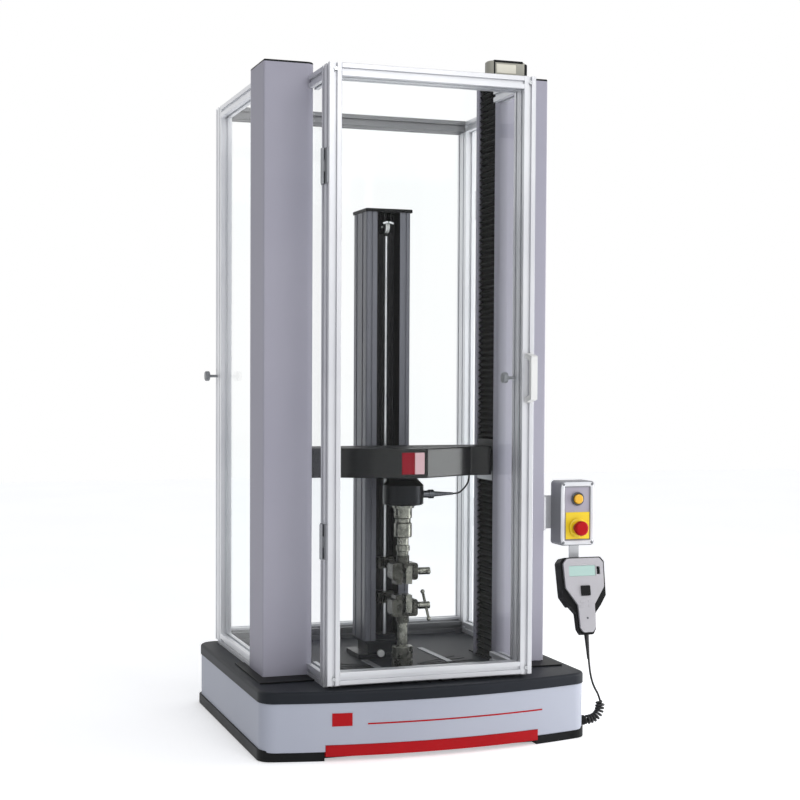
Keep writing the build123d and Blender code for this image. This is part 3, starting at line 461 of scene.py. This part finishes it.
def lengthOf(points):
    # length of the line through some points
    return sum((b - a).length for a, b in zip(points, points[1:]))


def freeCord(name, route, diameter, replaced, body):
    # a plain cord along its route, which stands for the CAD tube
    guide = cordCurve(name + "Guide", metres(route), 0)
    length = lengthOf(lineOf(guide))
    bpy.data.objects.remove(guide)
    piece = cordCurve(name, metres(route), diameter * mm / 2)
    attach(piece, body)
    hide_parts(replaced)


def curlyCord(name, route, replaced):
    # helix wound round the route's own spline, drawn in to it at both ends
    guide = cordCurve(name + "Guide", metres(route), 0)
    line = lineOf(guide)
    bpy.data.objects.remove(guide)
    total = lengthOf(line)
    turns = total / (cordSet["coilPitch"] * mm)
    count = round(turns * cordSet["pointsPerTurn"])
    helix = []
    side = Vector((0, 1, 0))
    for index in range(count + 1):
        wanted = total * index / count
        run, here = 0.0, line[0]
        for a, b in zip(line, line[1:]):
            step = (b - a).length
            if run + step >= wanted - 1e-9:
                here = a.lerp(b, (wanted - run) / step)
                ahead = (b - a).normalized()
                break
            run += step
        side = (side - ahead * side.dot(ahead)).normalized()
        up = ahead.cross(side)
        draw = min(1.0, wanted / cordSet["drawIn"], (total - wanted) / cordSet["drawIn"])
        angle = 2 * math.pi * turns * index / count
        radius = cordSet["coilRadius"] * mm * draw
        helix.append(here + side * math.cos(angle) * radius + up * math.sin(angle) * radius)
    piece = cordCurve(name, helix, cordSet["wireDiameter"] * mm / 2)
    piece.data.resolution_u = 3
    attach(piece, "machine")
    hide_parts(replaced)
    measure = cordCurve(name + "Measure", helix, 0)
    measure.data.resolution_u = 3
    length = lengthOf(lineOf(measure))
    bpy.data.objects.remove(measure)


curlyCord("curlyCord", cordSet["curlyRoute"], "curly_cord")
freeCord("handControlLead", cordSet["leadRoute"], cordSet["leadDiameter"], "hand_control_lead", "machine")
freeCord("loadCellLead", cordSet["cellRoute"], cordSet["cellDiameter"], "load_cell_lead", "crosshead")
print("cords made")

cameraSet = {"place": (-1.2276, -3.5785, 0.8754), "yaw": 19.09, "pitchDown": 1.95, "roll": 0.29,
             "lens": 68.75, "shiftY": 0.0342}


def makeCamera():
    # where the photograph was taken from, turned to the right, down and a little over
    data = bpy.data.cameras.new("photoCamera")
    camera = bpy.data.objects.new("photoCamera", data)
    bpy.context.collection.objects.link(camera)
    turn = Matrix.Rotation(math.radians(-cameraSet["yaw"]), 3, "Z")
    turn = turn @ Matrix.Rotation(math.radians(90 - cameraSet["pitchDown"]), 3, "X")
    turn = turn @ Matrix.Rotation(math.radians(cameraSet["roll"]), 3, "Z")
    camera.matrix_world = Matrix.Translation(cameraSet["place"]) @ turn.to_4x4()
    data.sensor_width = 36
    data.lens = cameraSet["lens"]
    data.shift_y = cameraSet["shiftY"]
    data.clip_end = 50
    bpy.context.scene.camera = camera


makeCamera()


# Base: plain red badge and thin red line on the bowed front

baseSet = {"badgeX": -0.2245, "badgeWidth": 0.046, "badgeHeight": 0.0295, "badgeZ": 0.0955,
           "badgeStand": 0.001, "badgeSteps": 6, "lineLeft": -0.166, "lineRight": 0.274, "lineZ": 0.084,
           "lineHeight": 0.0034, "lineStand": 0.0005, "lineSteps": 40,
           "bow": 0.055, "half": 0.403, "cornerY": -0.253}


def frontY(x):
    # y of the bowed front face at a place across the base
    bow, half = baseSet["bow"], baseSet["half"]
    radius = (half ** 2 + bow ** 2) / (2 * bow)
    return baseSet["cornerY"] - bow + radius - math.sqrt(radius ** 2 - x ** 2)


def frontStrip(name, x0, x1, z, height, stand, steps):
    # thin plate that follows the bowed front
    bpy.ops.object.select_all(action="DESELECT")
    bpy.ops.mesh.primitive_grid_add(x_subdivisions=steps, y_subdivisions=1, size=1)
    piece = bpy.context.object
    for vertex in piece.data.vertices:
        x = x0 + (x1 - x0) * (vertex.co.x + 0.5)
        vertex.co = (x, frontY(x) - stand, z + height * vertex.co.y)
    modifier = piece.modifiers.new("thickness", "SOLIDIFY")
    modifier.thickness = stand * 2
    modifier.offset = -1
    bpy.ops.object.modifier_apply(modifier="thickness")
    settle(piece, name, "red_plastic")


def makeBaseDetails():
    s = baseSet
    frontStrip("baseBadge", s["badgeX"] - s["badgeWidth"] / 2, s["badgeX"] + s["badgeWidth"] / 2,
               s["badgeZ"], s["badgeHeight"], s["badgeStand"], s["badgeSteps"])
    frontStrip("baseLine", s["lineLeft"], s["lineRight"], s["lineZ"], s["lineHeight"], s["lineStand"],
               s["lineSteps"])


makeBaseDetails()


# Black rubber skirt round the plinth's foot

skirtSet = {"stand": 0.004, "thickness": 0.008, "corner": 0.034, "low": 0.001, "lap": 0.005,
            "front": -0.2555, "edge": 0.0015}


def makeSkirt():
    # ring of four walls with rounded corners, from a block whose lid and floor are deleted
    s = skirtSet
    bodyLow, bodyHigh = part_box("base_body")
    low = Vector((bodyLow.x - s["stand"], s["front"], s["low"]))
    high = Vector((bodyHigh.x + s["stand"], bodyHigh.y + s["stand"] / 2, bodyLow.z + s["lap"]))
    bpy.ops.object.select_all(action="DESELECT")
    bpy.ops.mesh.primitive_cube_add(size=1, location=(low + high) / 2)
    piece = bpy.context.object
    piece.scale = high - low
    bpy.ops.object.transform_apply(location=False, rotation=False, scale=True)
    bpy.ops.object.mode_set(mode="EDIT")
    bpy.ops.mesh.select_mode(type="FACE")
    bpy.ops.mesh.select_all(action="DESELECT")
    bpy.ops.object.mode_set(mode="OBJECT")
    for face in piece.data.polygons:
        face.select = abs(face.normal.z) > 0.9
    bpy.ops.object.mode_set(mode="EDIT")
    bpy.ops.mesh.delete(type="ONLY_FACE")
    bpy.ops.mesh.select_mode(type="EDGE")
    bpy.ops.mesh.select_all(action="DESELECT")
    bpy.ops.object.mode_set(mode="OBJECT")
    for edge in piece.data.edges:
        a, b = (piece.data.vertices[index].co for index in edge.vertices)
        edge.select = abs(a.z - b.z) > s["thickness"]
    bpy.ops.object.mode_set(mode="EDIT")
    bpy.ops.mesh.bevel(offset=s["corner"], segments=8)
    bpy.ops.object.mode_set(mode="OBJECT")
    wall = piece.modifiers.new("wall", "SOLIDIFY")
    wall.thickness = s["thickness"]
    wall.offset = -1
    bpy.ops.object.modifier_apply(modifier="wall")
    settle(bevelled(piece, s["edge"], 2), "plinthSkirt", "black_plastic")


makeSkirt()


# Crosshead: two-tone badge, face plates of the bellows clamps, screws under the load cell

crossheadSet = {"badgeParts": (("crossheadBadge", -0.0285, 0.004, "deepRed"),
                               ("badgeField", 0.0042, 0.0285, "palePrint")),
                "badgeHalfHeight": 0.026, "badgeStand": 0.0018, "badgeSeat": 0.003, "badgeEdge": 0.0008,
                "faceInner": 0.0135, "faceOuter": 0.0115, "faceInset": 0.002, "faceTop": 0.026,
                "faceEdge": 0.0006, "cellScrews": 8, "cellScrewRadius": 0.0035, "cellScrewCircle": 0.78}


def makeCrossheadDetails():
    s = crossheadSet
    low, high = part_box("crosshead_cover")
    middle = (low.z + high.z) / 2
    for name, x0, x1, finish in s["badgeParts"]:
        plate(name, (x0, low.y - s["badgeStand"], middle - s["badgeHalfHeight"]),
              (x1, low.y + s["badgeSeat"], middle + s["badgeHalfHeight"]), finish, s["badgeEdge"],
              "crosshead")
    low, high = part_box("bellows_clamps")
    for side in (-1, 1):
        x0, x1 = sorted((side * (high.x - s["faceOuter"]), side * (high.x - s["faceInner"])))
        plate("clampFace%d" % (side + 1), (x0, low.y + s["faceInset"], low.z + s["faceInset"]),
              (x1, high.y - s["faceInset"], low.z + s["faceTop"]), "zincPlate", s["faceEdge"], "crosshead")
    low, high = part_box("load_cell")
    centre = (low + high) / 2
    radius = (high.x - low.x) / 2 * s["cellScrewCircle"]
    for step in range(s["cellScrews"]):
        angle = math.radians(360 * (step + 0.5) / s["cellScrews"])
        place = (centre.x + radius * math.cos(angle), centre.y + radius * math.sin(angle), low.z)
        socketScrew("cellScrew%d" % step, place, s["cellScrewRadius"], "-Z", "dark_steel", "crosshead")


makeCrossheadDetails()


# Control box and hand control

controlSet = {"front": -0.105, "x": 0.448, "z": 0.531,
              "panelWidth": 0.0682, "panelHeight": 0.1312, "panelDepth": 0.003, "panelProud": 0.0006,
              "panelSeat": 0.001, "panelEdge": 0.0003,
              "rimHalf": (0.0408, 0.0736), "rimCorner": 0.0075, "rimWidth": 0.0108, "rimDepth": 0.0032,
              "rimStand": 0.0006, "yellowWidth": 0.066, "yellowHeight": 0.068,
              "yellowShift": (0.001, -0.031), "yellowThick": 0.0022, "yellowEdge": 0.001,
              "startRise": 0.0365, "startRing": (0.0172, 0.0126, 0.004), "startStand": 0.002,
              "stopDrop": 0.036, "stopRing": (0.024, 0.012, 0.006), "stopStand": 0.0015,
              "screwShift": (0.039, 0.073), "screwRadius": 0.003}


def ringPiece(name, centre, outer, inner, depth, finish):
    # flat ring that faces the front, made from a torus squeezed along its axis
    bpy.ops.object.select_all(action="DESELECT")
    bpy.ops.mesh.primitive_torus_add(major_radius=(outer + inner) / 2, minor_radius=(outer - inner) / 2,
                                     major_segments=64, minor_segments=16, location=centre,
                                     rotation=(math.pi / 2, 0, 0))
    piece = bpy.context.object
    piece.scale = (1, 1, depth / (outer - inner))
    bpy.ops.object.shade_smooth()
    settle(piece, name, finish)


def roundedRim(name, centre, half, radius, width, depth, finish):
    # torus with a tube half a unit wide, led round a rectangle with rounded corners that faces the front
    bpy.ops.object.select_all(action="DESELECT")
    bpy.ops.mesh.primitive_torus_add(major_radius=1, minor_radius=0.25, major_segments=96, minor_segments=12)
    piece = bpy.context.object
    inner = Vector((half[0] - radius, half[1] - radius))
    for vertex in piece.data.vertices:
        angle = math.atan2(vertex.co.y, vertex.co.x)
        across = math.hypot(vertex.co.x, vertex.co.y) - 1
        way = Vector((math.cos(angle), math.sin(angle)))
        corner = Vector((math.copysign(inner.x, way.x), math.copysign(inner.y, way.y)))
        reach = max(abs(way.x) / half[0], abs(way.y) / half[1])
        spot = way / reach
        if abs(spot.x) > inner.x and abs(spot.y) > inner.y:
            out = (spot - corner).normalized()
            spot = corner + out * radius
        elif abs(spot.x) > inner.x:
            out = Vector((math.copysign(1, spot.x), 0))
        else:
            out = Vector((0, math.copysign(1, spot.y)))
        spot = spot + out * across * width * 2
        height = vertex.co.z * depth * 2
        vertex.co = (centre[0] + spot.x, centre[1] - height, centre[2] + spot.y)
    bpy.ops.object.shade_smooth()
    settle(piece, name, finish)


def makeControlDetails():
    s = controlSet
    x, y, z = s["x"], s["front"], s["z"]
    floorY = y + s["panelDepth"]
    roundedRim("boxRim", (x, y + s["rimStand"], z), s["rimHalf"], s["rimCorner"], s["rimWidth"],
               s["rimDepth"], "rimWhite")
    halfW, halfH = s["panelWidth"] / 2, s["panelHeight"] / 2
    plate("controlPanel", (x - halfW, floorY - s["panelProud"], z - halfH),
          (x + halfW, floorY + s["panelSeat"], z + halfH), "panelPlastic", s["panelEdge"])
    yellowX, yellowZ = x + s["yellowShift"][0], z + s["yellowShift"][1]
    halfW, halfH = s["yellowWidth"] / 2, s["yellowHeight"] / 2
    plate("yellowPlate", (yellowX - halfW, floorY - s["yellowThick"], yellowZ - halfH),
          (yellowX + halfW, floorY, yellowZ + halfH), "yellowPlastic", s["yellowEdge"])
    ringPiece("startCollar", (x, y - s["startStand"], z + s["startRise"]), *s["startRing"], "dark_steel")
    ringPiece("stopCollar", (x, y - s["stopStand"], z - s["stopDrop"]), *s["stopRing"], "yellowPlastic")
    for side in (-1, 1):
        for end in (-1, 1):
            place = (x + side * s["screwShift"][0], y, z + end * s["screwShift"][1])
            socketScrew("boxScrew%d%d" % (side + 1, end + 1), place, s["screwRadius"], "-Y")


makeControlDetails()

# a plate on the hand control's face: left and right, front and back, low and high, from its upper end
handSet = {
    "place": (0.470, -0.092, 0.419), "tilt": 11.7,
    "plates": (("handDisplay", (-0.0405, 0.032), (0.0012, 0.0022), (-0.048, -0.022), "display", 0.0002),
               ("handStrip", (-0.04, 0.04), (-0.0004, 0.001), (-0.0165, -0.0125), "silver_face", 0.0003)),
    "dot": ("handDot", (-0.0025, 0.0025), (-0.0004, 0.001), (-0.156, -0.151), "dark_steel", 0.0003),
    "padDepth": (-0.0006, 0.001), "padHalf": 0.006, "padHeight": 0.007, "padTop": -0.108, "padEdge": 0.0006,
    "padColumns": 0.022, "padRows": 0.012,
}


def handPlace(x, y, z):
    # a point given in the upright hand control, where it hangs in its holder
    tilt = math.radians(-handSet["tilt"])
    turned = Vector((x, y * math.cos(tilt) - z * math.sin(tilt), y * math.sin(tilt) + z * math.cos(tilt)))
    return Vector(handSet["place"]) + turned


def handPlate(name, xs, ys, zs, finish, edge):
    # plate on the tilted face, from its sides in the hand control's own frame
    centre = handPlace(sum(xs) / 2, sum(ys) / 2, sum(zs) / 2)
    half = Vector((xs[1] - xs[0], ys[1] - ys[0], zs[1] - zs[0])) / 2
    plate(name, centre - half, centre + half, finish, edge, "machine",
          (math.radians(-handSet["tilt"]), 0, 0))


def makeHandDetails():
    s = handSet
    for row in s["plates"]:
        handPlate(*row)
    for row in range(2):
        for column in range(2):
            x = s["padColumns"] * (column - 0.5)
            top = s["padTop"] - s["padRows"] * row
            handPlate("handPad%d%d" % (row, column), (x - s["padHalf"], x + s["padHalf"]), s["padDepth"],
                      (top - s["padHeight"], top), "silver_face", s["padEdge"])
    handPlate(*s["dot"])


makeHandDetails()


# Lamp: window, dark rim, sill, bar and end, each from the sides of the lamp's own box

lampSet = {"proud": 0.0012, "end": 0.012, "seat": 0.004, "over": 0.001, "inset": 0.003,
           "rimDepth": 0.005, "rimEdge": 0.002, "sillEnd": 0.014, "sillRise": 0.0005, "sillTop": 0.004,
           "sillEdge": 0.001, "window": (0.018, 0.03, 0.007, 0.008), "windowProud": 0.0015,
           "windowEdge": 0.002, "barEnd": 0.0155, "barEdge": 0.0008, "endWidth": 0.022, "endEdge": 0.004}


def makeLampDetails():
    s = lampSet
    low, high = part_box("frame_lamp")
    front = low.y - s["proud"]
    left, right, under, above = s["window"]
    plate("lampRim", (low.x + s["end"], front, high.z - s["rimDepth"]),
          (high.x - s["end"], high.y + s["over"], high.z + s["over"]), "black_plastic", s["rimEdge"])
    plate("lampSill", (low.x + s["sillEnd"], front, low.z + s["sillRise"]),
          (high.x - s["sillEnd"], low.y + s["inset"], low.z + s["sillTop"]), "black_plastic", s["sillEdge"])
    plate("lampWindow", (low.x + left, low.y - s["windowProud"], low.z + under),
          (high.x - right, low.y + s["seat"], high.z - above), "cream_plastic", s["windowEdge"])
    plate("lampBar", (low.x + s["end"], front, low.z + s["inset"]),
          (low.x + s["barEnd"], low.y + s["seat"], high.z - s["seat"]), "black_plastic", s["barEdge"])
    plate("lampEnd", (high.x - s["endWidth"], low.y + s["inset"], low.z + s["inset"]),
          (high.x + s["over"], high.y - s["inset"], high.z - s["inset"]), "black_plastic", s["endEdge"])


makeLampDetails()


# Table: dark ribs that spread from the load axis, two bright rails and the columns' foot plates

tableSet = {
    "z": 0.16, "axisY": -0.057, "ribs": 36, "ribInner": 0.06, "ribOuter": 0.2, "ribOuterBack": 0.17,
    "ribBackEnd": 0.115, "ribBackSpan": (40, 140), "ribWidth": 0.0055, "ribHeight": 0.0012, "ribEdge": 0.4,
    "footX": 0.3105, "footHalf": 0.0725, "footFront": -0.16, "footBack": 0.1, "footHeight": 0.0035,
    "footEdge": 0.001,
    "bars": (("tableBarRight", (0.1275, 0.17), (0.135, -0.0325)),
             ("tableBarLeft", (-0.0628, 0.05), (-0.061, -0.0525))),
    "barHalfWidth": 0.008, "barHalfHeight": 0.0015, "barRise": 0.001, "barEdge": 0.0006,
}


def tableRib(name, angle, outer):
    # low bar on the table that points away from the load axis
    s = tableSet
    turn = math.radians(angle)
    middle = (s["ribInner"] + outer) / 2
    centre = Vector((middle * math.cos(turn), s["axisY"] + middle * math.sin(turn), s["z"]))
    half = Vector(((outer - s["ribInner"]) / 2, s["ribWidth"] / 2, s["ribHeight"]))
    plate(name, centre - half, centre + half, "black_plastic", s["ribHeight"] * s["ribEdge"], "machine",
          (0, 0, turn))


def makeTableDetails():
    s = tableSet
    backStart, backEnd = s["ribBackSpan"]
    for step in range(s["ribs"]):
        angle = step * 360 / s["ribs"]
        outer = s["ribOuterBack"] if backStart < angle < backEnd else s["ribOuter"]
        if math.sin(math.radians(angle)) * outer < s["ribBackEnd"]:
            tableRib("tableRib%02d" % step, angle, outer)
    for side, name in ((-1, "Left"), (1, "Right")):
        x = side * s["footX"]
        plate("columnFoot" + name, (x - s["footHalf"], s["footFront"], s["z"]),
              (x + s["footHalf"], s["footBack"], s["z"] + s["footHeight"]), "black_plastic", s["footEdge"])
    for name, start, end in s["bars"]:
        a, b = Vector(start), Vector(end)
        middle, run = (a + b) / 2, b - a
        half = Vector((run.length / 2, s["barHalfWidth"], s["barHalfHeight"]))
        centre = Vector((middle.x, middle.y, s["z"] + s["barRise"]))
        plate(name, centre - half, centre + half, "zincPlate", s["barEdge"], "machine",
              (0, 0, math.atan2(run.y, run.x)))


makeTableDetails()


# Tower: adjusting knob at the foot and the guard over the guide wheel

towerSet = {"knobPlace": (-0.02, 0.05, 0.176), "knobRadius": 0.009, "knobDepth": 0.012, "knobEdge": 0.002,
            "guardShift": 0.0078, "guardHalf": 0.0066, "guardFront": 0.0045, "guardBack": 0.0015,
            "guardLow": 0.007, "guardHigh": 0.012, "guardTilt": 0.3, "guardEdge": 0.0008}


def makeTowerDetails():
    s = towerSet
    disc("towerKnob", s["knobPlace"], s["knobRadius"], s["knobDepth"], "Y", "white_plastic", s["knobEdge"])
    low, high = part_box("tower_wheel")
    middle = (low + high) / 2
    for side in (-1, 1):
        x = middle.x + side * s["guardShift"]
        plate("wheelGuard%d" % (side + 1),
              (x - s["guardHalf"], low.y - s["guardFront"], middle.z + s["guardLow"]),
              (x + s["guardHalf"], low.y - s["guardBack"], middle.z + s["guardHigh"]), "ground_steel",
              s["guardEdge"], "machine", (0, side * s["guardTilt"], 0))


makeTowerDetails()


# Enclosure: screws in the corners of both doors

screwSet = {"inset": 0.015, "radius": 0.0045}


def cornerScrews(name, node, atFront, body):
    # one socket screw in each corner of a door frame, on its outer face
    low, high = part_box(node)
    inset = screwSet["inset"]
    y, axis = (low.y, "-Y") if atFront else (high.y, "Y")
    for side, x in (("Left", low.x + inset), ("Right", high.x - inset)):
        for level, z in (("Low", low.z + inset), ("High", high.z - inset)):
            socketScrew(name + side + level, (x, y, z), screwSet["radius"], axis, "ground_steel", body)


cornerScrews("doorScrew", "front_door_frame", True, "front_door")
cornerScrews("rearScrew", "rear_door_frame", False, "rear_door")
print("details made")


# Floor, light and background

# each area lamp has its name, place, target, size in metres and power in watts
lightSet = {
    "world": 0.58, "lean": 0.3, "floorSize": 14, "floorPlace": (0, 2, 0), "floorLift": 0.16,
    "floorShine": 0.27,
    "areas": (("keyLight", (0.5, -4.3, 3.0), (0, 0, 0.8), 2.4, 55.0),
              ("sidePanel", (1.75, -0.46, 0.57), (0.107, -0.09, 0.664), 1.0, 14.5)),
}


def backgroundRays(tree):
    # 1 for what the camera, metal and glass see of the background, 0 for the light that falls on the object
    path = addNode(tree, "ShaderNodeLightPath")
    direct = addNode(tree, "ShaderNodeMath", {"operation": "MAXIMUM"},
                     {0: path.outputs["Is Camera Ray"], 1: path.outputs["Is Transmission Ray"]})
    seen = addNode(tree, "ShaderNodeMath", {"operation": "MAXIMUM"},
                   {0: direct.outputs["Value"], 1: path.outputs["Is Glossy Ray"]})
    return seen.outputs["Value"]


def makeStage():
    # pale floor and soft daylight, under a background that shows as plain white
    bpy.ops.mesh.primitive_plane_add(size=lightSet["floorSize"], location=lightSet["floorPlace"])
    floor = bpy.context.object
    floor.name = "paleFloor"
    material, tree, shader, place = newMaterial("paleFloor")
    tree.links.new(mottled(tree, place, ("#fbfbfb", "#ffffff"), 1.5), shader.inputs["Base Color"])
    shader.inputs["Roughness"].default_value = 0.9
    shader.inputs["Emission Color"].default_value = linear("#ffffff")
    lift = addNode(tree, "ShaderNodeMath",
                   {"operation": "MULTIPLY_ADD", 1: lightSet["floorShine"], 2: lightSet["floorLift"]},
                   {0: backgroundRays(tree)})
    tree.links.new(lift.outputs["Value"], shader.inputs["Emission Strength"])
    floor.data.materials.append(material)

    world = bpy.data.worlds.new("softDaylight")
    world.use_nodes = True
    bpy.context.scene.world = world
    tree = world.node_tree
    soft = tree.nodes["Background"]
    soft.inputs["Color"].default_value = linear("#f4f6fb")
    # the room is darker at the left than at the right
    ways = addNode(tree, "ShaderNodeSeparateXYZ", None,
                   {"Vector": addNode(tree, "ShaderNodeTexCoord").outputs["Generated"]})
    lean = addNode(tree, "ShaderNodeMath",
                   {"operation": "MULTIPLY_ADD", 1: lightSet["lean"], 2: lightSet["world"]},
                   {0: ways.outputs["X"]})
    tree.links.new(lean.outputs["Value"], soft.inputs["Strength"])
    white = addNode(tree, "ShaderNodeBackground", {"Color": (1, 1, 1, 1), "Strength": 1.0})
    backdrop = {"Fac": backgroundRays(tree), 1: soft.outputs["Background"], 2: white.outputs["Background"]}
    mix = addNode(tree, "ShaderNodeMixShader", None, backdrop)
    tree.links.new(mix.outputs["Shader"], tree.nodes["World Output"].inputs["Surface"])


def areaLight(name, place, target, size, power):
    # soft square lamp that faces a point and is itself out of sight
    data = bpy.data.lights.new(name, "AREA")
    data.size = size
    data.energy = power
    light = bpy.data.objects.new(name, data)
    bpy.context.collection.objects.link(light)
    light.location = place
    light.rotation_euler = (Vector(target) - Vector(place)).to_track_quat("-Z", "Y").to_euler()
    light.visible_camera = False


makeStage()
for row in lightSet["areas"]:
    areaLight(*row)
bpy.context.scene.view_settings.view_transform = "Standard"
print("stage made")
